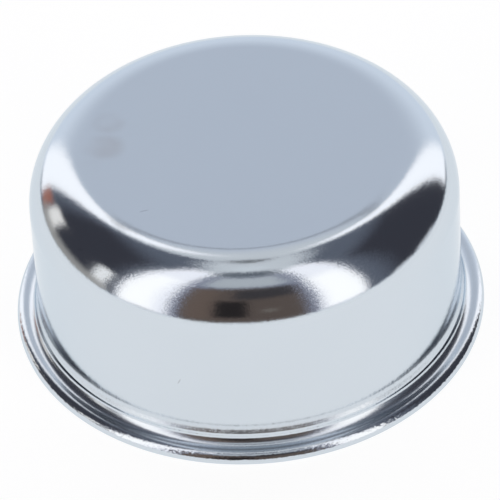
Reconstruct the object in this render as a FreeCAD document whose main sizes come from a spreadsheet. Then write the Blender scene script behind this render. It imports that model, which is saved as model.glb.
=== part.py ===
import FreeCAD, Part
import Sketcher
import math
import os

# A push-on crankcase breather cap in millimetres. It stands on its rolled rim, +Z up,
# with the origin at the centre of the rim's underside. A deep drawn chrome shell is
# hemmed round a perforated base plate. A collar in the middle takes the oil filler tube,
# and a knitted wire ring between two plates cleans the air on its way to the base holes.

# Driving sizes, one plain number each, in millimetres and degrees.
SIZES = [
    ("sheet", 0.55),
    ("plate_gauge", 1.1),
    ("overall_height", 35.6),
    ("body_diameter", 74.5),
    ("shoulder_radius", 10.7),
    ("wall_draft", 0.95),
    ("cove_radius", 2.4),
    ("cove_slope", 24),
    ("ramp_length", 0.55),
    ("edge_radius", 1.0),
    ("step_lean", 9),
    ("step_length", 0.3),
    ("fillet_radius", 1.55),
    ("ledge_width", 0.4),
    ("lip_bend", 0.95),
    ("fold_bend", 0.06),
    ("hem_width", 2.6),
    ("plate_dish", 2.4),
    ("plate_slope", 55),
    ("plate_bend", 0.8),
    ("field_margin", 2.6),
    ("vent_count", 12),
    ("vent_share", 0.54),
    ("tube_diameter", 31.75),
    ("tube_clearance", 0.32),
    ("collar_wall", 0.8),
    ("collar_bend", 0.5),
    ("foot_flange", 2.6),
    ("cup_step", 1.8),
    ("cup_bend", 0.35),
    ("cup_lip", 2.0),
    ("seal_height", 2.0),
    ("seal_width", 5.0),
    ("soft_gap", 0.06),
    ("screen_gauge", 0.5),
    ("filter_round", 1.2),
    ("filter_play", 0.3),
    ("retainer_gauge", 0.6),
    ("clip_count", 3),
    ("clip_gauge", 0.4),
    ("clip_width", 6.0),
    ("clip_lean", 20),
    ("clip_crest", 5.6),
    ("clip_heel", 2.0),
    ("clip_toe", 2.4),
    ("clip_play", 0.5),
    ("window_play", 0.5),
    ("rivet_diameter", 2.3),
    ("rivet_head", 4.2),
    ("rivet_rise", 0.8),
    ("rivet_inset", 2.6),
    ("hole_play", 0.05),
    ("baffle_gauge", 0.7),
    ("baffle_dome", 1.8),
    ("baffle_slope", 25),
    ("baffle_rim", 3.4),
    ("baffle_gap", 2.6),
    ("baffle_foot", 4.0),
    ("crown_gap", 1.8),
    ("leg_gap", 2.6),
    ("leg_count", 3),
    ("leg_width", 6.0),
]

doc = FreeCAD.newDocument("breather_cap")
sheet = doc.addObject("Spreadsheet::Sheet", "Sizes")
for row, (alias, number) in enumerate(SIZES, start=1):
    sheet.set("A%d" % row, alias)
    sheet.set("B%d" % row, str(number))
    sheet.setAlias("B%d" % row, alias)
doc.recompute()


def size(formula):
    """The number that a formula of sheet cells gives now."""
    return float(sheet.evalExpression(formula))


def cells(formula):
    """Write {name} for a cell of the sheet, and give the formula in full."""
    names = {alias: "Sizes." + alias for alias, number in SIZES}
    names.update(DERIVED)
    return "(" + formula.format(**names) + ")"


# Heights and radii that follow from the driving sizes, each written once.
DERIVED = {}


def derive(name, formula):
    DERIVED[name] = cells(formula)


# The shell's flange: sheet, base plate and hem lie on one another.
derive("flange_height", "{sheet} + {plate_gauge} + {sheet}")
derive("rim_top", "{sheet} + {plate_gauge}")
derive("lip_inside", "min({lip_bend}; {plate_gauge} - 2 * {fold_bend})")
derive("lip_drop", "{plate_gauge} - {lip_inside} - {fold_bend}")
derive("foot_radius", "{body_diameter} / 2")

# The stepped foot, from the wall's foot outwards and down to the ledge.
derive("cove_run", "{cove_radius} * (cos({wall_draft}) - cos({cove_slope}))")
derive("cove_drop", "{cove_radius} * (sin({cove_slope}) - sin({wall_draft}))")
derive("ramp_run", "{ramp_length} * sin({cove_slope})")
derive("ramp_drop", "{ramp_length} * cos({cove_slope})")
derive("edge_run", "{edge_radius} * (cos({step_lean}) - cos({cove_slope}))")
derive("edge_drop", "{edge_radius} * (sin({cove_slope}) - sin({step_lean}))")
derive("step_run", "{step_length} * sin({step_lean})")
derive("step_drop", "{step_length} * cos({step_lean})")
derive("fillet_run", "{fillet_radius} * cos({step_lean})")
derive("fillet_drop", "{fillet_radius} * (1 - sin({step_lean}))")
derive("foot_height", "{flange_height} + {fillet_drop} + {step_drop} + {edge_drop} + {ramp_drop}"
                      " + {cove_drop}")
derive("ledge_end", "{foot_radius} + {cove_run} + {ramp_run} + {edge_run} + {step_run}"
                    " + {fillet_run} + {ledge_width}")
derive("flange_radius", "{ledge_end} + {lip_inside} + {sheet}")
derive("wall_top", "{overall_height} - {shoulder_radius} * (1 - sin({wall_draft}))")
derive("wall_length", "({wall_top} - {foot_height}) / cos({wall_draft})")
derive("crown_radius", "{foot_radius} - {wall_length} * sin({wall_draft})"
                       " - {shoulder_radius} * cos({wall_draft})")
derive("cavity_radius", "{foot_radius} - {wall_length} * sin({wall_draft}) - {sheet}")

# The stack inside, from the base plate up.
derive("field_top", "{rim_top} + {plate_dish}")
derive("field_bottom", "{field_top} - {plate_gauge}")
derive("field_radius", "{cavity_radius} - {field_margin}")
derive("screen_top", "{field_top} + {screen_gauge}")
derive("cup_height", "{seal_height} + {soft_gap}")
derive("above_filter", "{retainer_gauge} + 2 * {collar_wall} + {cup_height} + {baffle_gap}"
                       " + {baffle_gauge} + {baffle_dome} + {crown_gap} + {sheet}")
derive("filter_top", "{overall_height} - {above_filter}")
derive("retainer_top", "{filter_top} + {retainer_gauge}")

# The collar: its bore clears the filler tube, and its foot and cup grip the stack.
derive("bore_radius", "{tube_diameter} / 2 + {tube_clearance}")
derive("collar_outside", "{bore_radius} + {collar_wall}")
derive("turn_radius", "{collar_bend} + {collar_wall}")
derive("collar_bottom", "{field_bottom} - {collar_wall}")
derive("seat_height", "{retainer_top} + {collar_wall}")
derive("cup_radius", "{bore_radius} + {turn_radius} + {cup_step}")
derive("cup_top", "{seat_height} + {cup_height} + {collar_wall}")
derive("plate_bore", "{collar_outside} + {collar_bend} + {hole_play}")
derive("foot_edge", "{collar_outside} + {turn_radius} + {foot_flange}")
derive("vent_ring", "({foot_edge} + {field_radius}) / 2")
derive("vent_radius", "({field_radius} - {foot_edge}) * {vent_share} / 2")
derive("half_vent_step", "180 / {vent_count}")

# The spring clips: the crest of each looks through a window into the bore.
derive("clip_outer_crest", "{clip_crest} + {clip_gauge}")
derive("crest_radius", "{bore_radius} + {hole_play}")
derive("heel_run", "({clip_outer_crest} + {clip_heel}) * (1 - cos({clip_lean}))")
derive("rise_length", "({collar_outside} - {crest_radius} - {heel_run}) / sin({clip_lean})")
derive("toe_drop", "{clip_outer_crest} * sin({clip_lean}) + {clip_toe} * cos({clip_lean})")
derive("crest_height", "{screen_top} + {clip_play} + {toe_drop}")
derive("toe_radius", "{crest_radius} + {clip_outer_crest} * (1 - cos({clip_lean}))"
                     " + {clip_toe} * sin({clip_lean})")
derive("toe_height", "{crest_height} - {toe_drop}")
derive("tail_start", "{crest_height} + ({clip_outer_crest} + {clip_heel}) * sin({clip_lean})"
                     " + {rise_length} * cos({clip_lean})")
derive("clip_tail", "{filter_top} - {clip_play} - {tail_start}")
derive("rivet_height", "{filter_top} - {clip_play} - {rivet_inset}")
derive("window_half", "{tail_start} - {crest_height} + {window_play}")

# The baffle stands on the retainer plate, clear of the collar's cup.
derive("baffle_base", "{cup_top} + {baffle_gap}")
derive("leg_inside", "{cup_radius} + {collar_wall} + {leg_gap}")
derive("leg_bend", "2 * {baffle_gauge}")
derive("leg_length", "{baffle_base} - {retainer_top} - {leg_bend} - {baffle_gauge}")


def check(condition, words):
    if not condition:
        raise RuntimeError(words)


def new_body(name):
    body = doc.addObject("PartDesign::Body", name)
    body.Label = name
    return body


def new_sketch(body, name, plane):
    """A sketch on one of the body's own origin planes."""
    sketch = body.newObject("Sketcher::SketchObject", name)
    role = [item for item in body.Origin.OriginFeatures if item.Role == plane][0]
    sketch.AttachmentSupport = [(role, "")]
    sketch.MapMode = "FlatFace"
    return sketch


def point(x, y):
    return FreeCAD.Vector(x, y, 0)


def bind(sketch, constraint, name, formula):
    """Add a sizing constraint and tie it to the sheet."""
    index = sketch.addConstraint(constraint)
    sketch.renameConstraint(index, name)
    sketch.setExpression("Constraints." + name, formula)


def lay_side(sketch, start, lines, radii, offset):
    """One side of a strip: straight lines joined by tangent bends. Each piece is kept
    as (index, vertex where it starts, vertex where it ends)."""
    headings = [math.radians(size(heading)) for heading, length in lines]
    spot = FreeCAD.Vector(start)
    spot += point(math.sin(headings[0]), -math.cos(headings[0])) * offset
    straight = []
    bends = []
    for number, (heading, length) in enumerate(lines):
        angle = headings[number]
        far = spot + point(math.cos(angle), math.sin(angle)) * size(length)
        straight.append((sketch.addGeometry(Part.LineSegment(spot, far), False), 1, 2))
        spot = far
        if number == len(radii):
            break
        turn = headings[number + 1] - angle
        left = turn > 0
        radius = size(radii[number]) + (offset if left else -offset)
        side = 1 if left else -1
        centre = spot + point(-math.sin(angle), math.cos(angle)) * (radius * side)
        first = angle - side * math.pi / 2
        circle = Part.Circle(centre, FreeCAD.Vector(0, 0, 1), radius)
        low, high = sorted((first, first + turn))
        arc = sketch.addGeometry(Part.ArcOfCircle(circle, low, high), False)
        bends.append((arc, 1, 2) if left else (arc, 2, 1))
        spot = centre + point(math.cos(first + turn), math.sin(first + turn)) * radius
    joints = []
    for number, bend in enumerate(bends):
        before = straight[number]
        after = straight[number + 1]
        joints.append(Sketcher.Constraint("Tangent", before[0], before[2], bend[0], bend[1]))
        joints.append(Sketcher.Constraint("Tangent", bend[0], bend[2], after[0], after[1]))
    if joints:
        sketch.addConstraint(joints)
    return straight, bends


def draw_strip(sketch, start, lines, radii, gauge):
    """The closed section of a bent strip. start holds two formulas, lines holds pairs of
    heading and length, radii the bends between them on the path's own side. The strip's
    thickness lies to the right of the path."""
    thickness = size(gauge)
    first = point(size(start[0]), size(start[1]))
    near, near_bends = lay_side(sketch, first, lines, radii, 0)
    far, far_bends = lay_side(sketch, first, lines, radii, thickness)
    for number, (heading, length) in enumerate(lines):
        index = near[number][0]
        angle = Sketcher.Constraint("Angle", index, math.radians(size(heading)))
        bind(sketch, angle, "heading_%d" % number, heading)
        distance = Sketcher.Constraint("Distance", index, size(length))
        bind(sketch, distance, "length_%d" % number, length)
        sketch.addConstraint(Sketcher.Constraint("Parallel", index, far[number][0]))
    for number, radius in enumerate(radii):
        index = near_bends[number][0]
        bind(sketch, Sketcher.Constraint("Radius", index, size(radius)), "bend_%d" % number, radius)
        sketch.addConstraint(Sketcher.Constraint("Coincident", index, 3, far_bends[number][0], 3))
    for name, side, end in (("start", 0, 1), ("finish", -1, 2)):
        a, b = near[side][0], far[side][0]
        cap = sketch.addGeometry(Part.LineSegment(sketch.getPoint(a, end), sketch.getPoint(b, end)), False)
        sketch.addConstraint([
            Sketcher.Constraint("Coincident", cap, 1, a, end),
            Sketcher.Constraint("Coincident", cap, 2, b, end),
            Sketcher.Constraint("Perpendicular", cap, a),
        ])
        if name == "start":
            bind(sketch, Sketcher.Constraint("Distance", cap, thickness), "gauge", gauge)
    place_point(sketch, near[0][0], 1, "start", start)
    return near, far


def place_point(sketch, index, vertex, name, spot):
    """Tie a point's two distances from the origin to the sheet."""
    across = size(spot[0])
    up = size(spot[1])
    if abs(across) < 1e-9:
        sketch.addConstraint(Sketcher.Constraint("PointOnObject", index, vertex, -2))
    else:
        bind(sketch, Sketcher.Constraint("DistanceX", -1, 1, index, vertex, across), name + "_x", spot[0])
    if abs(up) < 1e-9:
        sketch.addConstraint(Sketcher.Constraint("PointOnObject", index, vertex, -1))
    else:
        bind(sketch, Sketcher.Constraint("DistanceY", -1, 1, index, vertex, up), name + "_y", spot[1])


def draw_box(sketch, name, low, high):
    """A rectangle between two corners, each a pair of formulas."""
    x0, y0, x1, y1 = size(low[0]), size(low[1]), size(high[0]), size(high[1])
    corners = [point(x0, y0), point(x1, y0), point(x1, y1), point(x0, y1)]
    sides = [sketch.addGeometry(Part.LineSegment(corners[k], corners[(k + 1) % 4]), False)
             for k in range(4)]
    for k in range(4):
        sketch.addConstraint(Sketcher.Constraint("Coincident", sides[k], 2, sides[(k + 1) % 4], 1))
        way = "Horizontal" if k % 2 == 0 else "Vertical"
        sketch.addConstraint(Sketcher.Constraint(way, sides[k]))
    place_point(sketch, sides[0], 1, name + "_low", low)
    place_point(sketch, sides[2], 1, name + "_high", high)


def draw_circle(sketch, name, centre, radius):
    circle = Part.Circle(point(size(centre[0]), size(centre[1])), FreeCAD.Vector(0, 0, 1), size(radius))
    index = sketch.addGeometry(circle, False)
    bind(sketch, Sketcher.Constraint("Radius", index, size(radius)), name + "_radius", radius)
    place_point(sketch, index, 3, name, centre)


def revolve(body, sketch, name):
    turn = body.newObject("PartDesign::Revolution", name)
    turn.Profile = sketch
    turn.ReferenceAxis = (sketch, ["V_Axis"])
    turn.Angle = 360
    sketch.Visibility = False
    return turn


def ring_of(body, feature, count, name):
    """Copies of a feature in a ring about Z, one count taken from the sheet."""
    pattern = body.newObject("PartDesign::PolarPattern", name)
    pattern.Originals = [feature]
    axis = [item for item in body.Origin.OriginFeatures if item.Role == "Z_Axis"][0]
    pattern.Axis = (axis, [""])
    pattern.Angle = 360
    pattern.setExpression("Occurrences", count)
    body.Tip = pattern
    return pattern


def strip_ring(name, start, lines, radii, gauge):
    """A sheet metal ring or disc: a bent strip turned about Z."""
    body = new_body(name)
    sketch = new_sketch(body, name + "_section", "XZ_Plane")
    draw_strip(sketch, [cells(part) for part in start],
               [(cells(heading), cells(length)) for heading, length in lines],
               [cells(radius) for radius in radii], cells(gauge))
    revolve(body, sketch, name + "_turn")
    return body


def cut_vents(body, name):
    """The ring of breathing holes, set half a step off the baffle's legs."""
    sketch = new_sketch(body, name + "_vent", "XY_Plane")
    centre = (cells("{vent_ring} * cos({half_vent_step})"), cells("{vent_ring} * sin({half_vent_step})"))
    draw_circle(sketch, "vent", centre, cells("{vent_radius}"))
    hole = body.newObject("PartDesign::Pocket", name + "_vent_cut")
    hole.Profile = sketch
    hole.Type = "ThroughAll"
    hole.Midplane = True
    sketch.Visibility = False
    ring_of(body, hole, cells("{vent_count}"), name + "_vents")


def cap_shell():
    """Drawn shell: crown, round shoulder, drafted wall, S-shaped step, ledge and hemmed lip."""
    return strip_ring(
        "cap_shell", ("0", "{overall_height}"),
        [("0", "{crown_radius}"),
         ("-90 + {wall_draft}", "{wall_length}"),
         ("-90 + {cove_slope}", "{ramp_length}"),
         ("-90 + {step_lean}", "{step_length}"),
         ("0", "{ledge_width}"),
         ("-90", "{lip_drop}"),
         ("-180", "{hem_width}")],
        ["{shoulder_radius}", "{cove_radius}", "{edge_radius}", "{fillet_radius}",
         "{lip_inside} + {sheet}", "{fold_bend} + {sheet}"],
        "{sheet}")


def base_plate():
    """Pressed plate: its rim lies in the shell's hem and its dished field carries the stack."""
    bends = "(2 * {plate_bend} + {plate_gauge})"
    slope = "({plate_dish} - " + bends + " * (1 - cos({plate_slope}))) / sin({plate_slope})"
    rim = ("{ledge_end} - {soft_gap} - {field_radius} - " + bends + " * sin({plate_slope}) - "
           + slope + " * cos({plate_slope})")
    body = strip_ring(
        "base_plate", ("{plate_bore}", "{field_top}"),
        [("0", "{field_radius} - {plate_bore}"),
         ("-{plate_slope}", slope),
         ("0", rim)],
        ["{plate_bend} + {plate_gauge}", "{plate_bend}"],
        "{plate_gauge}")
    cut_vents(body, "base_plate")
    return body


def collar():
    """Filler tube collar: flared foot under the base plate, bore, and a cup for the seal."""
    body = strip_ring(
        "collar", ("{foot_edge}", "{collar_bottom}"),
        [("180", "{foot_flange} + {collar_wall}"),
         ("90", "{seat_height} - {collar_bottom} - 2 * {turn_radius}"),
         ("0", "{cup_step} - {cup_bend}"),
         ("90", "{cup_height} - 2 * {cup_bend}"),
         ("180", "{cup_lip}")],
        ["{turn_radius}", "{turn_radius}", "{cup_bend}", "{cup_bend}"],
        "{collar_wall}")
    sketch = new_sketch(body, "collar_window", "YZ_Plane")
    half = "({clip_width} / 2 + {window_play})"
    draw_box(sketch, "window",
             (cells("-" + half), cells("{crest_height} - {window_half}")),
             (cells(half), cells("{crest_height} + {window_half}")))
    draw_circle(sketch, "rivet", ("0", cells("{rivet_height}")),
                cells("{rivet_diameter} / 2 + {hole_play}"))
    cut = body.newObject("PartDesign::Pocket", "collar_window_cut")
    cut.Profile = sketch
    cut.Reversed = True
    cut.setExpression("Length", cells("{collar_outside} + {turn_radius}"))
    sketch.Visibility = False
    ring_of(body, cut, cells("{clip_count}"), "collar_windows")
    return body


def plain_ring(name, inside, outside, bottom, top, rounding=None):
    """A flat ring with square or rounded edges."""
    body = new_body(name)
    sketch = new_sketch(body, name + "_section", "XZ_Plane")
    draw_box(sketch, "ring", (cells(inside), cells(bottom)), (cells(outside), cells(top)))
    turn = revolve(body, sketch, name + "_turn")
    if rounding:
        doc.recompute()
        edges = ["Edge%d" % (k + 1) for k, edge in enumerate(turn.Shape.Edges)
                 if isinstance(edge.Curve, Part.Circle)]
        fillet = body.newObject("PartDesign::Fillet", name + "_rounding")
        fillet.Base = (turn, edges)
        fillet.setExpression("Radius", cells(rounding))
    return body


def spring_clip(number, angle):
    """Leaf clip: toe, crest in the collar's window, and a tail riveted to the collar."""
    name = "spring_clip_%d" % number
    body = new_body(name)
    sketch = new_sketch(body, name + "_side", "XZ_Plane")
    lines = [("90 + {clip_lean}", "{clip_toe}"), ("90 - {clip_lean}", "{rise_length}"),
             ("90", "{clip_tail}")]
    draw_strip(sketch, (cells("{toe_radius}"), cells("{toe_height}")),
               [(cells(heading), cells(length)) for heading, length in lines],
               [cells("{clip_outer_crest}"), cells("{clip_heel}")], cells("{clip_gauge}"))
    pad = body.newObject("PartDesign::Pad", name + "_pad")
    pad.Profile = sketch
    pad.Midplane = True
    pad.setExpression("Length", cells("{clip_width}"))
    sketch.Visibility = False
    hole_sketch = new_sketch(body, name + "_rivet_hole", "YZ_Plane")
    draw_circle(hole_sketch, "rivet", ("0", cells("{rivet_height}")),
                cells("{rivet_diameter} / 2 + {hole_play}"))
    hole = body.newObject("PartDesign::Pocket", name + "_hole")
    hole.Profile = hole_sketch
    hole.Reversed = True
    hole.Type = "ThroughAll"
    hole_sketch.Visibility = False
    turn_about_z(body, angle)
    return body


def clip_rivet(number, angle):
    """Rivet through clip and collar: flush inside the bore, domed outside."""
    name = "clip_rivet_%d" % number
    body = new_body(name)
    sketch = new_sketch(body, name + "_half", "XZ_Plane")
    inner = cells("{crest_radius}")
    under = cells("{collar_outside} + {clip_gauge}")
    top = cells("{collar_outside} + {clip_gauge} + {rivet_rise}")
    shank = cells("{rivet_diameter} / 2")
    head = cells("{rivet_head} / 2")
    # The half section lies above its own X axis, and is turned about it.
    x0, x1, x2, r0, r1 = size(inner), size(under), size(top), size(shank), size(head)
    path = [point(x0, 0), point(x0, r0), point(x1, r0), point(x1, r1)]
    sides = [sketch.addGeometry(Part.LineSegment(a, b), False) for a, b in zip(path, path[1:])]
    dome_radius = (r1 ** 2 + (x2 - x1) ** 2) / (2 * (x2 - x1))
    centre = point(x2 - dome_radius, 0)
    circle = Part.Circle(centre, FreeCAD.Vector(0, 0, 1), dome_radius)
    dome = sketch.addGeometry(Part.ArcOfCircle(circle, 0, math.asin(r1 / dome_radius)), False)
    base = sketch.addGeometry(Part.LineSegment(point(x2, 0), point(x0, 0)), False)
    sketch.addConstraint([
        Sketcher.Constraint("Coincident", sides[0], 2, sides[1], 1),
        Sketcher.Constraint("Coincident", sides[1], 2, sides[2], 1),
        Sketcher.Constraint("Coincident", sides[2], 2, dome, 2),
        Sketcher.Constraint("Coincident", dome, 1, base, 1),
        Sketcher.Constraint("Coincident", base, 2, sides[0], 1),
        Sketcher.Constraint("Vertical", sides[0]),
        Sketcher.Constraint("Horizontal", sides[1]),
        Sketcher.Constraint("Vertical", sides[2]),
        Sketcher.Constraint("PointOnObject", base, 1, -1),
        Sketcher.Constraint("PointOnObject", base, 2, -1),
        Sketcher.Constraint("PointOnObject", dome, 3, -1),
    ])
    bind(sketch, Sketcher.Constraint("DistanceX", -1, 1, sides[0], 1, x0), "inner", inner)
    bind(sketch, Sketcher.Constraint("DistanceX", -1, 1, sides[2], 1, x1), "under", under)
    bind(sketch, Sketcher.Constraint("DistanceX", -1, 1, dome, 1, x2), "top", top)
    bind(sketch, Sketcher.Constraint("DistanceY", -1, 1, sides[1], 1, r0), "shank", shank)
    bind(sketch, Sketcher.Constraint("DistanceY", -1, 1, sides[2], 2, r1), "head", head)
    turn = body.newObject("PartDesign::Revolution", name + "_turn")
    turn.Profile = sketch
    turn.ReferenceAxis = (sketch, ["H_Axis"])
    turn.Angle = 360
    sketch.Visibility = False
    turn_about_z(body, angle)
    body.setExpression("Placement.Base.z", cells("{rivet_height}"))
    return body


def turn_about_z(body, angle):
    body.Placement = FreeCAD.Placement(FreeCAD.Vector(0, 0, 0),
                                       FreeCAD.Rotation(FreeCAD.Vector(0, 0, 1), angle))


def retainer_plate():
    """Perforated plate that the collar's cup holds down on the wire ring."""
    body = plain_ring("retainer_plate", "{plate_bore}", "{cavity_radius} - {field_margin} / 2",
                      "{filter_top}", "{retainer_top}")
    cut_vents(body, "retainer_plate")
    return body


def baffle():
    """Splash baffle: a dished disc on three bent legs, spot welded to the retainer plate."""
    bends = "(3 * {baffle_gauge})"
    cone = "({baffle_dome} - " + bends + " * (1 - cos({baffle_slope}))) / sin({baffle_slope})"
    flat = ("{leg_inside} - {baffle_rim} - " + bends + " * sin({baffle_slope}) - "
            + cone + " * cos({baffle_slope})")
    body = strip_ring(
        "baffle", ("0", "{baffle_base} + {baffle_gauge} + {baffle_dome}"),
        [("0", flat), ("-{baffle_slope}", cone), ("0", "{baffle_rim}")],
        ["2 * {baffle_gauge}", "{baffle_gauge}"],
        "{baffle_gauge}")
    sketch = new_sketch(body, "baffle_leg", "XZ_Plane")
    lines = [("0", "{baffle_rim} / 2"),
             ("-90", "{leg_length}"),
             ("0", "{baffle_foot}")]
    draw_strip(sketch,
               (cells("{leg_inside} - {baffle_rim} / 2"), cells("{baffle_base} + {baffle_gauge}")),
               [(cells(heading), cells(length)) for heading, length in lines],
               [cells("{leg_bend}"), cells("{baffle_gauge}")], cells("{baffle_gauge}"))
    leg = body.newObject("PartDesign::Pad", "baffle_leg_pad")
    leg.Profile = sketch
    leg.Midplane = True
    leg.setExpression("Length", cells("{leg_width}"))
    sketch.Visibility = False
    ring_of(body, leg, cells("{leg_count}"), "baffle_legs")
    return body


parts = [cap_shell(), base_plate(), collar(), retainer_plate(), baffle()]
parts.append(plain_ring("seal_ring", "{cup_radius} - {soft_gap} - {seal_width}",
                        "{cup_radius} - {soft_gap}", "{seat_height}",
                        "{seat_height} + {seal_height}", "{cup_bend}"))
parts.append(plain_ring("base_screen", "{plate_bore}", "{field_radius}", "{field_top}", "{screen_top}"))
parts.append(plain_ring("filter_element", "{collar_outside} + {clip_gauge} + {rivet_rise} + {filter_play}",
                        "{cavity_radius} - {filter_play}", "{screen_top}", "{filter_top}",
                        "{filter_round}"))
clip_count = round(size(cells("{clip_count}")))
for k in range(clip_count):
    angle = 360 / clip_count * k
    parts.append(spring_clip(k + 1, angle))
    parts.append(clip_rivet(k + 1, angle))
doc.recompute()

for item in doc.Objects:
    check(not {"Invalid", "Error"} & set(item.State), item.Name + " did not compute")
for body in parts:
    shape = body.Shape
    check(not shape.isNull() and shape.isValid(), body.Label + " has no valid shape")
    check(len(shape.Solids) == 1, body.Label + " is not one solid")

os.makedirs("parts", exist_ok=True)
for body in parts:
    body.Shape.exportStep("parts/" + body.Label + ".step")
    box = body.Shape.BoundBox
    print("%-16s volume %9.1f  r %6.2f  z %6.2f to %6.2f"
          % (body.Label, body.Shape.Volume, max(box.XMax, box.YMax), box.ZMin, box.ZMax))
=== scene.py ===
import math
import random

import bpy
from mathutils import Matrix, Vector


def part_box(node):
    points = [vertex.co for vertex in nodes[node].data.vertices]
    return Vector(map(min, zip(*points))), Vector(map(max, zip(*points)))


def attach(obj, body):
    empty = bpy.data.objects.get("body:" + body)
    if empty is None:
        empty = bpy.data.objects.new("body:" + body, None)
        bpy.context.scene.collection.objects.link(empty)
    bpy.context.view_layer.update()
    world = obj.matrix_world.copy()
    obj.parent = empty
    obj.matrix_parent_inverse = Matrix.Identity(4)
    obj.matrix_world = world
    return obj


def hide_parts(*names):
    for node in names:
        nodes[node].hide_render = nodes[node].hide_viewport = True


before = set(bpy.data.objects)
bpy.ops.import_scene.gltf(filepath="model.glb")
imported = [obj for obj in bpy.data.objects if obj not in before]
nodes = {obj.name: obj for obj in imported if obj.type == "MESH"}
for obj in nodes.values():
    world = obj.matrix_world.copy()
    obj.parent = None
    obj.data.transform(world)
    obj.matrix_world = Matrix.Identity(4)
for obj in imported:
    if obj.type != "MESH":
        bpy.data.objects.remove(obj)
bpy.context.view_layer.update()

# Looks of the push-on breather cap, in metres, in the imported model's own frame.
# Plates, collar, seal ring, clips and rivets keep their CAD shapes and get materials.
# The shell is turned again, finely, so that its chrome mirrors cleanly. The woven gauze and
# the knitted wire ring are made here. These three replace their CAD nodes.

scene = bpy.context.scene
scene.view_settings.view_transform = "Standard"

MM = 0.001

# The photograph's camera, fitted to the outline and the rim's ellipse.
RIM_RADIUS = 41.24 * MM
PHOTO_WIDTH_PX = 500
FOCAL_PX = 3071
SENSOR_MM = 36
CAMERA_ELEVATION = 41.92
CAMERA_ROLL = -3.45
CAMERA_DISTANCE = 13.0 * RIM_RADIUS
CAMERA_TARGET = Vector((0.0100, 0, 0.2762)) * RIM_RADIUS

# The white table's radius, and how far below the rim it lies.
TABLE_RADIUS = 205 * MM
TABLE_GAP = 0.02 * MM

# The shell's section in millimetres and degrees, as in the CAD source.
SHELL = {"sheet": 0.55, "plate": 1.1, "body": 74.5, "shoulder": 10.7, "draft": 0.95,
         "cove": 2.4, "cove_slope": 24, "ramp": 0.55, "edge": 1.0, "step_lean": 9,
         "step": 0.3, "fillet": 1.55, "ledge": 0.4, "lip": 0.95, "fold": 0.06, "hem": 2.6}


class Graph:
    """Adds and links the nodes of one material or world."""

    def __init__(self, owner):
        owner.use_nodes = True
        self.tree = owner.node_tree
        self.tree.nodes.clear()

    def node(self, kind, **settings):
        made = self.tree.nodes.new("ShaderNode" + kind)
        for name, value in settings.items():
            setattr(made, name, value)
        return made

    def put(self, socket, value):
        """Link a socket, or set its plain value."""
        if isinstance(value, bpy.types.NodeSocket):
            self.tree.links.new(value, socket)
        elif value is not None:
            if isinstance(value, (tuple, list)) and len(value) == 3 and socket.type == "RGBA":
                value = (*value, 1)
            socket.default_value = value

    def math(self, operation, a, b=None, c=None):
        made = self.node("Math", operation=operation)
        for socket, value in zip(made.inputs, (a, b, c)):
            self.put(socket, value)
        return made.outputs[0]

    def add(self, a, b):
        return self.math("ADD", a, b)

    def times(self, a, *rest):
        for b in rest:
            a = self.math("MULTIPLY", a, b)
        return a

    def vector(self, operation, a, b=None, scale=None):
        made = self.node("VectorMath", operation=operation)
        self.put(made.inputs[0], a)
        self.put(made.inputs[1], b)
        if scale is not None:
            self.put(made.inputs["Scale"], scale)
        return made.outputs["Value" if operation in ("LENGTH", "DISTANCE") else "Vector"]

    def ramp(self, value, low, high, out_low=0.0, out_high=1.0):
        """Smooth step between two values."""
        made = self.node("MapRange", interpolation_type="SMOOTHSTEP")
        for name, number in (("Value", value), ("From Min", low), ("From Max", high),
                             ("To Min", out_low), ("To Max", out_high)):
            self.put(made.inputs[name], number)
        return made.outputs["Result"]

    def between(self, value, low, high, soft):
        """1 between low and high, with soft edges centred on them."""
        half = soft / 2
        rise = self.ramp(value, low - half, low + half)
        fall = self.ramp(value, high - half, high + half, 1.0, 0.0)
        return self.times(rise, fall)

    def blend(self, share, a, b):
        made = self.node("Mix", data_type="RGBA")
        self.put(made.inputs["Factor"], share)
        self.put(made.inputs[6], a)
        self.put(made.inputs[7], b)
        return made.outputs[2]

    def noise(self, vector, scale, detail=2.0, roughness=0.5, output="Fac"):
        made = self.node("TexNoise")
        self.put(made.inputs["Vector"], vector)
        self.put(made.inputs["Scale"], scale)
        self.put(made.inputs["Detail"], detail)
        self.put(made.inputs["Roughness"], roughness)
        return made.outputs[output]

    def place(self):
        """Object coordinates, and their x, y, z and radius, in millimetres."""
        spot = self.vector("SCALE", self.node("TexCoord").outputs["Object"], scale=1000.0)
        split = self.node("SeparateXYZ")
        self.put(split.inputs[0], spot)
        x, y, z = split.outputs
        radius = self.math("SQRT", self.add(self.times(x, x), self.times(y, y)))
        return spot, x, y, z, radius

    def stretch(self, spot, x, y, z):
        return self.vector("MULTIPLY", spot, (x, y, z))

    def finish(self, surface):
        out = self.node("OutputMaterial")
        self.put(out.inputs["Surface"], surface)


def principled(graph, colour, metallic, roughness, normal=None):
    """The shader at the end of a material, its plain values set on its own sockets."""
    made = graph.node("BsdfPrincipled")
    for name, value in (("Base Color", colour), ("Metallic", metallic),
                        ("Roughness", roughness), ("Normal", normal)):
        graph.put(made.inputs[name], value)
    graph.finish(made.outputs[0])
    return made


def tilt_normal(graph, *pushes):
    """The surface normal, pushed by small vectors."""
    normal = graph.node("NewGeometry").outputs["Normal"]
    for push in pushes:
        normal = graph.vector("ADD", normal, push)
    return graph.vector("NORMALIZE", normal)


def spread(graph, noise, amount):
    """A noise colour as a vector about zero, of the given size."""
    return graph.vector("SCALE", graph.vector("SUBTRACT", noise, (0.5, 0.5, 0.5)), scale=amount)


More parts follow.
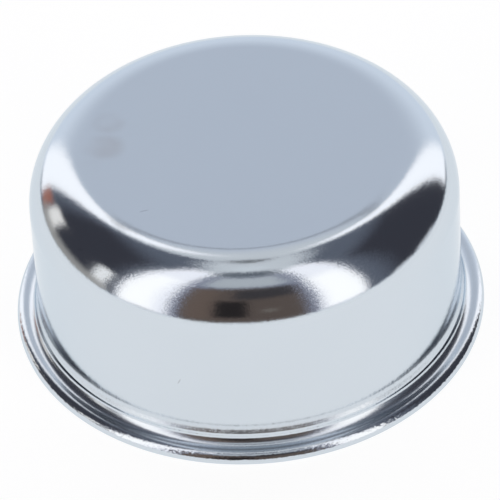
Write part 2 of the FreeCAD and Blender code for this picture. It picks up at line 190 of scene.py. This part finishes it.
def studio_world():
    """The studio that the chrome mirrors, painted in patches by direction. az is degrees
    from the camera's side, positive to its right, and el is degrees above the horizon."""
    world = bpy.data.worlds.new("studio")
    scene.world = world
    graph = Graph(world)
    split = graph.node("SeparateXYZ")
    graph.put(split.inputs[0], graph.node("TexCoord").outputs["Generated"])
    x, y, z = split.outputs
    turn = 180 / math.pi
    el = graph.times(graph.math("ARCSINE", z), turn)
    az = graph.times(graph.math("ARCTAN2", x, graph.times(y, -1.0)), turn)
    side = graph.math("ABSOLUTE", az)
    above = graph.times(graph.math("MAXIMUM", el, 0.0), 1 / 60)
    lift = graph.math("POWER", above, 4.0)
    slow = graph.math("POWER", above, 2.6)

    # The walls behind the object, from the floor's height up to the ceiling.
    colour = graph.blend(graph.ramp(el, 4, 40), (0.86, 0.90, 0.98), (0.625, 0.66, 0.74))
    colour = graph.blend(graph.ramp(el, 44, 62), colour, (0.74, 0.75, 0.77))

    def patch(tone, low, high, bottom, top, soft=(5, 5), soft_el=(5, 5), bend=(0, 0), arch=0,
              strength=1.0, lean=(0, 0)):
        """A patch between two sides and two heights. Each has its own softness, bend and
        lean move the sides with height, and arch drops the top away from the middle."""
        nonlocal colour
        edges = []
        for number in (0, 1):
            edge = az
            if bend[number]:
                edge = graph.add(edge, graph.times(lift, -bend[number]))
            if lean[number]:
                edge = graph.add(edge, graph.times(slow, -lean[number]))
            edges.append(edge)
        left, right = edges
        height = el
        if arch:
            off = graph.times(graph.add(az, -(low + high) / 2), 2 / (high - low))
            height = graph.add(el, graph.times(off, off, arch))
        mask = graph.times(
            graph.ramp(left, low - soft[0] / 2, low + soft[0] / 2),
            graph.ramp(right, high - soft[1] / 2, high + soft[1] / 2, 1.0, 0.0),
            graph.ramp(height, bottom - soft_el[0] / 2, bottom + soft_el[0] / 2),
            graph.ramp(height, top - soft_el[1] / 2, top + soft_el[1] / 2, 1.0, 0.0), strength)
        colour = graph.blend(mask, colour, tone)

    navy = (0.050, 0.050, 0.063)
    slate = (0.135, 0.148, 0.185)
    white = (1.50, 1.42, 1.36)
    haze = (1.27, 1.22, 1.24)
    glow = (1.38, 1.33, 1.33)
    # Dark room on both sides.
    patch(slate, -140, -44, -5.5, 79, (10, 12), (4, 7), (-9, -10), 3)
    patch(navy, -123, -71, -5.5, 64, (16, 17), (4, 18), (-26, -12), 3)
    patch(slate, 52, 134, -6, 76, (10, 10), (4, 8), (8, 13), 3)
    patch(navy, 72, 128, -6.5, 58, (18, 9), (2, 14), (6, 20), 2)
    # The front of the room between the lights.
    patch((0.25, 0.26, 0.33), -45, 41, -6, 76, (10, 10), (3, 6), arch=3)
    patch((0.56, 0.58, 0.60), -31, 26, 56, 73, (12, 12), (5, 4), arch=1)
    patch((0.128, 0.097, 0.083), -35, 27, -7, 54.5, (6, 8), (2, 4), arch=5)
    patch((0.19, 0.132, 0.104), -33, -19, -2, 51, (4, 8), (4, 8), strength=0.6)
    patch((0.026, 0.022, 0.022), -18, -2, 3, 32)
    patch((0.056, 0.050, 0.053), -9, 25, 35, 52, (8, 8), (8, 8))
    patch((0.26, 0.23, 0.20), 6, 12, 10, 16, strength=0.6)
    patch((0.15, 0.165, 0.19), -50, 44, 75, 84, (24, 24), (3, 5), arch=1)
    # Two tall lights, then the two strips at the back.
    patch(haze, -66.5, -40, -6, 77, (7, 8), (4, 5), (-6, -2), 1)
    patch(haze, -92, -62, 73, 78.5, (12, 8), (4, 4), strength=0.6)
    patch(white, -65, -48, -5, 56, (4, 8), (6, 10))
    patch(haze, 33, 57.5, -6, 77, (7, 4), (4, 5), (4, 9), 1)
    patch(haze, 56, 82, 73, 77.5, (8, 12), (4, 4), strength=0.7)
    patch(white, 37, 56.5, -5, 52, (6, 3), (6, 14))
    patch(glow, -147.5, -131, -5, 61, (6, 5), (4, 9), (0, -28), lean=(-25, 0))
    patch(glow, 124, 139.5, -5, 63, (5, 6), (4, 8), (24, 0), lean=(0, 21))
    # The dark top edge of the grey card at the back.
    height = graph.add(el, graph.times(side, 0.28))
    border = graph.times(graph.ramp(side, 146, 160), graph.between(height, 94.5, 96.6, 1.2), 0.75)
    colour = graph.blend(border, colour, (0.20, 0.205, 0.22))
    # Small things in the left room, and at the table's right edge.
    patch((1.10, 1.02, 0.95), -122, -112, -5, 20, (4, 4), (4, 6))
    patch((0.52, 0.18, 0.11), -131, -124, -4, 13, (4, 4), (5, 9), strength=0.8)
    patch((1.14, 1.09, 1.05), -82, -73, -5, 24.5, (5, 5), (4, 7))
    patch((0.44, 0.41, 0.38), -126, -73, -9, 2.5, (8, 4), (5, 11), strength=0.9)
    patch((0.62, 0.62, 0.64), 73, 84, -9, -3.6, (4, 5), (2, 2.5))
    patch((0.62, 0.62, 0.64), 89, 103, -9, -3.2, (6, 5), (2, 2.5))
    # The ceiling, and a dark thing up at the back.
    patch((0.80, 0.82, 0.84), -200, 200, 85.5, 96, soft_el=(5, 5))
    behind = graph.times(graph.ramp(side, 160, 176), graph.between(el, 72, 78, 3.5))
    colour = graph.blend(behind, colour, (0.16, 0.165, 0.17))
    # The white table, out to its edge.
    colour = graph.blend(graph.ramp(el, -8.6, -6.0, 1.0, 0.0), colour, (0.97, 0.98, 1.0))

    studio = graph.node("Background")
    graph.put(studio.inputs["Color"], colour)
    paper = graph.node("Background")
    graph.put(paper.inputs["Color"], (1, 1, 1))
    choose = graph.node("MixShader")
    graph.put(choose.inputs[0], graph.node("LightPath").outputs["Is Camera Ray"])
    graph.put(choose.inputs[1], studio.outputs[0])
    graph.put(choose.inputs[2], paper.outputs[0])
    graph.put(graph.node("OutputWorld").inputs["Surface"], choose.outputs[0])


def camera():
    """The photograph's view, fitted to the outline and the rim's ellipse."""
    elevation = math.radians(CAMERA_ELEVATION)
    roll = math.radians(CAMERA_ROLL)
    ahead = Vector((0, math.cos(elevation), -math.sin(elevation)))
    right = Vector((1, 0, 0))
    up = Vector((0, math.sin(elevation), math.cos(elevation)))
    across = right * math.cos(roll) + up * math.sin(roll)
    upright = up * math.cos(roll) - right * math.sin(roll)
    view = Matrix((across, upright, -ahead)).transposed().to_4x4()
    view.translation = CAMERA_TARGET - ahead * CAMERA_DISTANCE
    data = bpy.data.cameras.new("camera")
    data.sensor_width = SENSOR_MM
    data.lens = FOCAL_PX / PHOTO_WIDTH_PX * SENSOR_MM
    data.clip_start = 0.01
    data.clip_end = 20
    item = bpy.data.objects.new("camera", data)
    scene.collection.objects.link(item)
    item.matrix_world = view
    scene.camera = item


def floor():
    """A white table top that takes the cap's soft shadow. Seen directly or in the chrome it
    shines a little, as in the photograph, and its under side lets the view through."""
    mesh = bpy.data.meshes.new("floor")
    steps = 96
    angles = [k * 2 * math.pi / steps for k in range(steps)]
    rim = [(TABLE_RADIUS * math.cos(angle), TABLE_RADIUS * math.sin(angle), 0) for angle in angles]
    mesh.from_pydata(rim, [], [tuple(range(steps))])
    item = bpy.data.objects.new("floor", mesh)
    item.location.z = -TABLE_GAP
    scene.collection.objects.link(item)
    material = bpy.data.materials.new("table_white")
    graph = Graph(material)
    path = graph.node("LightPath")
    seen = graph.math("MAXIMUM", path.outputs["Is Camera Ray"],
                      graph.math("MAXIMUM", path.outputs["Is Glossy Ray"],
                                 path.outputs["Is Transmission Ray"]))
    radius = graph.place()[4]
    shade = graph.ramp(radius, 110, 200, 0.20, 0.0)
    glow = graph.ramp(radius, 110, 200, 0.892, 1.0)
    faint = graph.node("BsdfDiffuse")
    graph.put(faint.inputs["Color"], graph.blend(shade, (0, 0, 0), (1, 1, 1)))
    light = graph.node("Emission")
    graph.put(light.inputs["Strength"], glow)
    paper = graph.node("AddShader")
    graph.put(paper.inputs[0], faint.outputs[0])
    graph.put(paper.inputs[1], light.outputs[0])
    plain = graph.node("BsdfDiffuse")
    graph.put(plain.inputs["Color"], (0.80, 0.81, 0.82))
    front = graph.node("MixShader")
    graph.put(front.inputs[0], seen)
    graph.put(front.inputs[1], plain.outputs[0])
    graph.put(front.inputs[2], paper.outputs[0])
    clear = graph.node("BsdfTransparent")
    both = graph.node("MixShader")
    graph.put(both.inputs[0], graph.node("NewGeometry").outputs["Backfacing"])
    graph.put(both.inputs[1], front.outputs[0])
    graph.put(both.inputs[2], clear.outputs[0])
    graph.finish(both.outputs[0])
    mesh.materials.append(material)


def chrome():
    """Bright chrome on drawn steel: fine grain all over, drawing lines at the wall's foot,
    a rougher and uneven rolled rim, and faint finger marks and scratches."""
    material = bpy.data.materials.new("chrome")
    graph = Graph(material)
    spot, _, y, z, radius = graph.place()
    foot = graph.between(z, 2.4, 7.0, 1.6)
    cove = graph.between(z, 4.0, 5.9, 0.8)
    rim = graph.ramp(radius, 38.2, 39.4)

    grain = graph.noise(spot, 5.5, 3, output="Color")
    coarse = graph.noise(spot, 2.4, 2, output="Color")
    peel = graph.noise(spot, 0.55, 2, output="Color")
    lines = graph.noise(graph.stretch(spot, 1, 1, 0.06), 5.0, 3, 0.6, output="Color")
    dents = graph.noise(graph.stretch(spot, 1, 1, 2), 1.8, 3, 0.6, output="Color")
    grain_size = graph.add(graph.ramp(z, 35.0, 35.5, 0.105, 0.07), graph.times(rim, 0.04))
    line_size = graph.add(graph.times(foot, 0.08), graph.times(cove, 0.16))
    dent_size = graph.times(graph.ramp(radius, 40.0, 40.7), 0.26)
    pushes = [
        spread(graph, grain, grain_size),
        spread(graph, coarse, 0.014),
        spread(graph, peel, 0.006),
        graph.stretch(spread(graph, lines, line_size), 0.2, 0.2, 1),
        spread(graph, dents, dent_size),
    ]

    # Finger marks near the crown's left edge, and a few fine scratches.
    marks = graph.noise(spot, 0.15, 1, 0.4)
    smudge = 0.0
    flat = graph.stretch(spot, 1, 1, 0)
    for centre, size, amount in (((-22.4, 7.6, 0), 3.6, 0.9), ((-23.2, 1.2, 0), 4.4, 1.0),
                                 ((-25.4, -3.6, 0), 2.6, 0.5)):
        near = graph.vector("DISTANCE", flat, centre)
        smudge = graph.math("MAXIMUM", graph.times(graph.ramp(near, size, size * 0.4), amount), smudge)
    smudge = graph.times(smudge, graph.ramp(marks, 0.20, 0.60))
    scratch = 0.0
    for centre, way, half in (((-16.7, -15.7, 35.6), (1, 0.25, 0), 0.8),
                              ((-27.6, -20.3, 32.0), (0.7, -0.3, 0.2), 1.1),
                              ((-12.6, -34.9, 14.5), (0.5, -0.1, 1), 0.7)):
        off = graph.vector("SUBTRACT", spot, centre)
        along = graph.vector("PROJECT", off, way)
        far = graph.vector("LENGTH", graph.vector("SUBTRACT", off, along))
        reach = graph.vector("LENGTH", off)
        line = graph.times(graph.ramp(far, 0.16, 0.05), graph.ramp(reach, half, half * 0.6))
        scratch = graph.add(line, scratch)
    # Painted reflection: a fine dark line painted along the middle of the ledge, at the front only,
    # standing in for a slight bend in the ledge that mirrors something dark.
    ledge = graph.times(graph.between(radius, 39.35, 39.8, 0.35), graph.ramp(y, -33, -38.5),
                        graph.between(z, 2.0, 2.3, 0.05))
    haze = graph.noise(spot, 0.05, 3, 0.6)
    colour = graph.blend(haze, (0.636, 0.694, 0.750), (0.656, 0.714, 0.770))
    colour = graph.blend(graph.times(smudge, 0.36), colour, (0.50, 0.485, 0.49))
    colour = graph.blend(graph.times(scratch, 0.4), colour, (0.36, 0.38, 0.42))
    # The ledge's painted dark reflection line, blended into the colour.
    colour = graph.blend(graph.times(ledge, 0.6), colour, (0.20, 0.21, 0.24))
    rough = graph.add(0.105, graph.times(rim, 0.04))
    dull = graph.between(radius, 37.9, 40.2, 0.4)
    rough = graph.add(rough, graph.times(dull, 0.09))
    rough = graph.add(rough, graph.times(cove, 0.13))
    rough = graph.add(rough, graph.times(smudge, 0.08))
    rough = graph.add(rough, graph.times(graph.add(haze, -0.5), 0.03))
    metal = principled(graph, colour, 1.0, rough, tilt_normal(graph, *pushes))
    # Chrome does not whiten towards its outline as a plain metal would.
    metal.inputs["Specular Tint"].default_value = (0.86, 0.90, 0.93, 1)
    return material


def zinc(name, tone, rough):
    """Bright zinc plate: mottled, with handling marks and press streaks."""
    material = bpy.data.materials.new(name)
    graph = Graph(material)
    spot = graph.place()[0]
    cloud = graph.noise(spot, 0.16, 4, 0.6)
    crystal = graph.noise(spot, 1.3, 3, 0.55)
    scratch = graph.noise(graph.stretch(spot, 0.3, 3.5, 1), 1.4, 4, 0.7)
    dark = tuple(value * 0.72 for value in tone)
    warm = (tone[0] * 0.98, tone[1] * 0.93, tone[2] * 0.82)
    colour = graph.blend(graph.ramp(cloud, 0.35, 0.7), tone, dark)
    colour = graph.blend(graph.times(graph.ramp(crystal, 0.45, 0.75), 0.35), colour, warm)
    gloss = graph.add(rough, graph.times(graph.add(scratch, -0.5), 0.25))
    gloss = graph.add(gloss, graph.times(graph.add(cloud, -0.5), 0.18))
    fine = graph.noise(spot, 2.6, 3, output="Color")
    principled(graph, colour, 1.0, gloss, tilt_normal(graph, spread(graph, fine, 0.09)))
    return material


def rubber():
    """Matt black rubber with a little dust and moulding texture."""
    material = bpy.data.materials.new("rubber")
    graph = Graph(material)
    spot = graph.place()[0]
    dust = graph.noise(spot, 0.5, 5, 0.7)
    pits = graph.noise(spot, 4.0, 2, output="Color")
    colour = graph.blend(graph.ramp(dust, 0.45, 0.75), (0.018, 0.018, 0.020), (0.060, 0.058, 0.055))
    rough = graph.ramp(dust, 0.3, 0.8, 0.50, 0.75)
    principled(graph, colour, 0.0, rough, tilt_normal(graph, spread(graph, pits, 0.12)))
    return material


def blued_spring():
    """Tempered spring steel: blue, turning to straw near the riveted end."""
    material = bpy.data.materials.new("blued_spring")
    graph = Graph(material)
    spot, _, _, z, _ = graph.place()
    drift = graph.times(graph.add(graph.noise(spot, 0.5, 3), -0.5), 7.0)
    heat = graph.add(z, drift)
    colour = graph.blend(graph.ramp(heat, 9, 15), (0.075, 0.105, 0.190), (0.16, 0.11, 0.19))
    colour = graph.blend(graph.ramp(heat, 15, 20), colour, (0.42, 0.31, 0.17))
    rough = graph.add(0.24, graph.times(graph.noise(graph.stretch(spot, 3, 3, 0.3), 1.5, 3), 0.2))
    fine = graph.noise(graph.stretch(spot, 1, 1, 0.2), 5.0, 3, output="Color")
    principled(graph, colour, 1.0, rough, tilt_normal(graph, spread(graph, fine, 0.10)))
    return material


def bare_steel(name, tone, rough):
    """Bare steel wire and rivets, a little oiled and stained."""
    material = bpy.data.materials.new(name)
    graph = Graph(material)
    spot = graph.place()[0]
    stain = graph.noise(spot, 0.7, 4, 0.65)
    brown = (tone[0] * 0.62, tone[1] * 0.52, tone[2] * 0.42)
    colour = graph.blend(graph.ramp(stain, 0.5, 0.8), tone, brown)
    gloss = graph.add(rough, graph.times(stain, 0.2))
    fine = graph.noise(spot, 5.0, 2, output="Color")
    principled(graph, colour, 1.0, gloss, tilt_normal(graph, spread(graph, fine, 0.08)))
    return material


def dress(name, material):
    """Give a CAD node a material in every slot."""
    slots = nodes[name].material_slots
    if not slots:
        nodes[name].data.materials.append(material)
    for slot in slots:
        slot.material = material


def wires(name, runs, radius, sides, material):
    """One piece of many round wires, each run a list of points in millimetres."""
    points = []
    faces = []
    for run in runs:
        spots = [Vector(spot) for spot in run]
        start = len(points)
        normal = None
        for k, spot in enumerate(spots):
            along = spots[min(k + 1, len(spots) - 1)] - spots[max(k - 1, 0)]
            along.normalize()
            if normal is None:
                normal = along.orthogonal()
            normal = (normal - along * normal.dot(along)).normalized()
            other = along.cross(normal)
            for j in range(sides):
                angle = 2 * math.pi * j / sides
                rim = spot + (normal * math.cos(angle) + other * math.sin(angle)) * radius
                points.append(rim * MM)
        for k in range(len(spots) - 1):
            for j in range(sides):
                a = start + k * sides + j
                b = start + k * sides + (j + 1) % sides
                faces.append((a, b, b + sides, a + sides))
        last = start + (len(spots) - 1) * sides
        faces.append(tuple(start + j for j in reversed(range(sides))))
        faces.append(tuple(last + j for j in range(sides)))
    mesh = bpy.data.meshes.new(name)
    mesh.from_pydata(points, [], faces)
    mesh.update()
    mesh.polygons.foreach_set("use_smooth", [True] * len(mesh.polygons))
    mesh.materials.append(material)
    item = bpy.data.objects.new(name, mesh)
    scene.collection.objects.link(item)
    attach(item, "root")
    return item


def bent_side(start, lines, radii, offset):
    """Samples along one skin of a bent strip, each as (radius, height, heading). The
    strip lies to the right of the path, and offset is how far in this skin is."""
    heading = math.radians(lines[0][0])
    x = start[0] + math.sin(heading) * offset
    y = start[1] - math.cos(heading) * offset
    samples = [(x, y, heading)]
    for number, (degrees, length) in enumerate(lines):
        heading = math.radians(degrees)
        pieces = max(1, round(length / 4.0))
        for k in range(pieces):
            x += math.cos(heading) * length / pieces
            y += math.sin(heading) * length / pieces
            samples.append((x, y, heading))
        if number == len(radii):
            break
        turn = math.radians(lines[number + 1][0]) - heading
        side = 1 if turn > 0 else -1
        radius = radii[number] + side * offset
        middle = (x - math.sin(heading) * radius * side, y + math.cos(heading) * radius * side)
        steps = max(6, math.ceil(abs(turn) / math.radians(3.5)))
        for k in range(1, steps + 1):
            now = heading + turn * k / steps
            x = middle[0] + math.sin(now) * radius * side
            y = middle[1] - math.cos(now) * radius * side
            samples.append((x, y, now))
    return samples


def sin(degrees):
    return math.sin(math.radians(degrees))


def cos(degrees):
    return math.cos(math.radians(degrees))


def shell_section():
    """The shell's closed section, as points (radius, height, normal out, normal up), and
    the crown's height and the sheet's gauge, in millimetres."""
    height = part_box("cap_shell")[1].z / MM
    gauge = SHELL["sheet"]
    plate = SHELL["plate"]
    draft = SHELL["draft"]
    slope = SHELL["cove_slope"]
    lean = SHELL["step_lean"]
    drops = [(SHELL["cove"], draft, slope), (SHELL["edge"], lean, slope)]
    foot = 2 * gauge + plate + SHELL["fillet"] * (1 - sin(lean)) + SHELL["step"] * cos(lean)
    foot += SHELL["ramp"] * cos(slope)
    for radius, first, last in drops:
        foot += radius * (sin(last) - sin(first))
    wall = (height - SHELL["shoulder"] * (1 - sin(draft)) - foot) / cos(draft)
    crown = SHELL["body"] / 2 - wall * sin(draft) - SHELL["shoulder"] * cos(draft)
    inside = min(SHELL["lip"], plate - 2 * SHELL["fold"])
    lines = [(0, crown), (-90 + draft, wall), (-90 + slope, SHELL["ramp"]),
             (-90 + lean, SHELL["step"]), (0, SHELL["ledge"]),
             (-90, plate - inside - SHELL["fold"]), (-180, SHELL["hem"])]
    radii = [SHELL["shoulder"], SHELL["cove"], SHELL["edge"], SHELL["fillet"],
             inside + gauge, SHELL["fold"] + gauge]
    outer = bent_side((0, height), lines, radii, 0)
    inner = bent_side((0, height), lines, radii, gauge)
    section = [(x, y, -math.sin(a), math.cos(a)) for x, y, a in outer[1:]]
    end = outer[-1][2]
    section.append((outer[-1][0], outer[-1][1], math.cos(end), math.sin(end)))
    section.append((inner[-1][0], inner[-1][1], math.cos(end), math.sin(end)))
    section += [(x, y, math.sin(a), -math.cos(a)) for x, y, a in reversed(inner[1:])]
    return section, height, gauge


def shell(material):
    """The drawn and hemmed shell, turned finely so that its chrome reflects cleanly."""
    section, height, gauge = shell_section()
    turns = 384
    points = [(0, 0, height * MM), (0, 0, (height - gauge) * MM)]
    normals = [(0, 0, 1), (0, 0, -1)]
    faces = []
    count = len(section)
    for number in range(turns):
        angle = 2 * math.pi * number / turns
        ca, sa = math.cos(angle), math.sin(angle)
        points += [(r * ca * MM, r * sa * MM, z * MM) for r, z, out, up in section]
        normals += [(out * ca, out * sa, up) for r, z, out, up in section]
        a = 2 + number * count
        b = 2 + (number + 1) % turns * count
        faces.append((0, a, b))
        faces.append((1, b + count - 1, a + count - 1))
        faces += [(a + k, a + k + 1, b + k + 1, b + k) for k in range(count - 1)
                  if section[k][:2] != section[k + 1][:2]]
    mesh = bpy.data.meshes.new("shell_skin")
    mesh.from_pydata(points, [], faces)
    mesh.update()
    mesh.polygons.foreach_set("use_smooth", [True] * len(mesh.polygons))
    mesh.normals_split_custom_set_from_vertices(normals)
    mesh.materials.append(material)
    item = bpy.data.objects.new("shell_skin", mesh)
    scene.collection.objects.link(item)
    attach(item, "root")
    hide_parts("cap_shell")


def ring_limits(name):
    """Bottom, top and outside radius of a ring node, in millimetres."""
    low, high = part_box(name)
    return low.z / MM, high.z / MM, high.x / MM


def gauze(material):
    """Plain woven wire, cut to a ring on the base plate. The wires wave over and under."""
    bottom, top, outside = ring_limits("base_screen")
    inside = 17.6
    wire = (top - bottom) / 4
    middle = (bottom + top) / 2
    pitch = 1.27
    count = int(outside / pitch)
    runs = []
    for way in (0, 1):
        for row in range(-count, count + 1):
            off = (row + 0.5) * pitch
            if abs(off) > outside - wire - 0.1:
                continue
            reach = math.sqrt((outside - wire) ** 2 - off * off)
            hole = math.sqrt(max((inside + wire) ** 2 - off * off, 0.0))
            spans = [(-reach, reach)] if hole == 0 else [(-reach, -hole), (hole, reach)]
            for low, high in spans:
                if high - low < 1.5:
                    continue
                steps = max(4, round((high - low) / (pitch / 2)))
                run = []
                for k in range(steps + 1):
                    along = low + (high - low) * k / steps
                    wave = math.cos(math.pi * along / pitch - math.pi / 2) * (-1) ** (row + way)
                    height = middle + wave * wire
                    run.append((along, off, height) if way == 0 else (off, along, height))
                runs.append(run)
    item = wires("gauze_disc", runs, wire * 0.98, 5, material)
    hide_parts("base_screen")


def wire_ring(material):
    """Knitted steel wire, crimped and packed into a ring, denser at the bottom, where it
    shows through the vents."""
    bottom, top, outside = ring_limits("filter_element")
    inside = 18.6
    wire = 0.12
    strands = 260
    low_strands = 110
    spots = 86
    stride = 0.58
    rng = random.Random(71)
    runs = []
    for number in range(strands):
        angle = rng.uniform(0, 2 * math.pi)
        radius = rng.uniform(inside + 1.4, outside - 1.4)
        height = rng.uniform(bottom + 1.2, top - 1.2)
        if number < low_strands:
            height = bottom + 1.1 + rng.uniform(0, 3.0)
        way = rng.choice((-1, 1))
        drift = rng.uniform(-0.06, 0.06)
        climb = rng.uniform(-0.05, 0.05)
        beat = rng.uniform(1.3, 1.9)
        phase = rng.uniform(0, 6.28)
        tall = rng.uniform(0.5, 1.0)
        wide = rng.uniform(0.6, 1.2)
        run = []
        for k in range(spots):
            length = k * stride
            r = radius + drift * length + wide * math.sin(beat * length + phase)
            h = height + climb * length + tall * math.sin(beat * length * 0.93 + phase + 1.6)
            r = min(max(r, inside + wire), outside - wire)
            h = min(max(h, bottom + wire), top - wire)
            turn = angle + way * length / radius
            run.append((r * math.cos(turn), r * math.sin(turn), h))
        runs.append(run)
    item = wires("wire_ring", runs, wire, 3, material)
    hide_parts("filter_element")


camera()
studio_world()
floor()

shell(chrome())
plate = zinc("zinc_plate", (0.60, 0.61, 0.62), 0.30)
for name in ("base_plate", "retainer_plate", "baffle"):
    dress(name, plate)
dress("collar", zinc("zinc_collar", (0.64, 0.65, 0.65), 0.24))
dress("seal_ring", rubber())
spring = blued_spring()
rivet = bare_steel("rivet_steel", (0.62, 0.62, 0.61), 0.22)
for number in (1, 2, 3):
    dress("spring_clip_%d" % number, spring)
    dress("clip_rivet_%d" % number, rivet)
gauze(bare_steel("gauze_wire", (0.52, 0.52, 0.51), 0.24))
wire_ring(bare_steel("knitted_wire", (0.46, 0.46, 0.45), 0.28))
